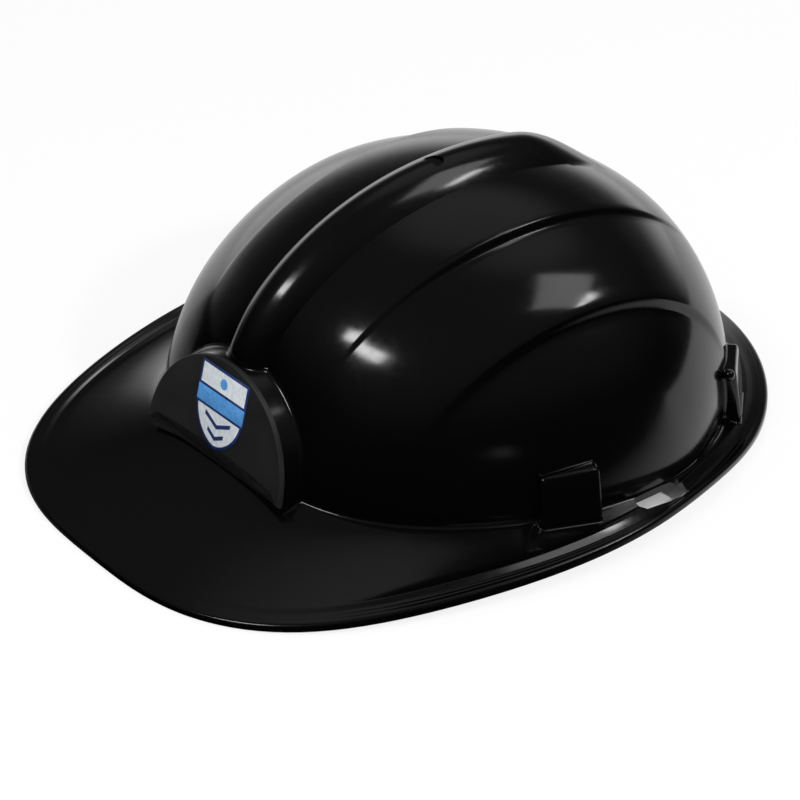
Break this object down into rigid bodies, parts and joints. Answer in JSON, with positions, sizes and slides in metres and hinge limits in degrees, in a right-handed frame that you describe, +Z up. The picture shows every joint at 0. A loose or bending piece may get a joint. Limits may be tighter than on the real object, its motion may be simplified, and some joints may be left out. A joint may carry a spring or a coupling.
{
  "type": "police play helmet",
  "caption": "Moulded play helmet with a crested, stepped dome, a wide peak and brim, a D-shaped badge plate in front, and a clipped-in cradle, headband and sliding nape strap.",
  "frame": {"origin": "on the floor under the middle of the helmet's length and width, with the brim's edge standing on the floor", "axes": "+X to the wearer's left, +Y to the rear (the peak points to -Y), +Z up"},
  "size_m": [0.2214, 0.2751, 0.1004],
  "materials": {
    "shell": "glossy moulded",
    "badge_plate": "satin moulded",
    "badge_label": "printed label",
    "key": "moulded",
    "suspension": "moulded",
    "stud": "moulded",
    "pad": "woven over foam"
  },
  "bodies": {
    "helmet": {"shell": "shell", "badge_plate": "badge_plate", "badge_label": "badge_label", "front_key": "key", "side_key_left": "key", "side_key_right": "key", "rear_key_left": "key", "rear_key_right": "key", "cradle": "suspension", "crown_pad": "pad", "headband": "suspension", "sweatband": "pad", "hanger_studs": "stud", "adjuster_studs": "stud"},
    "nape_strap": {"nape_strap": "suspension"}
  },
  "joints": [
    {"name": "nape_slide", "type": "slide", "parent": "helmet", "child": "nape_strap", "axis": [0, 1, 0], "range_m": [-0.016, 0]}
  ]
}
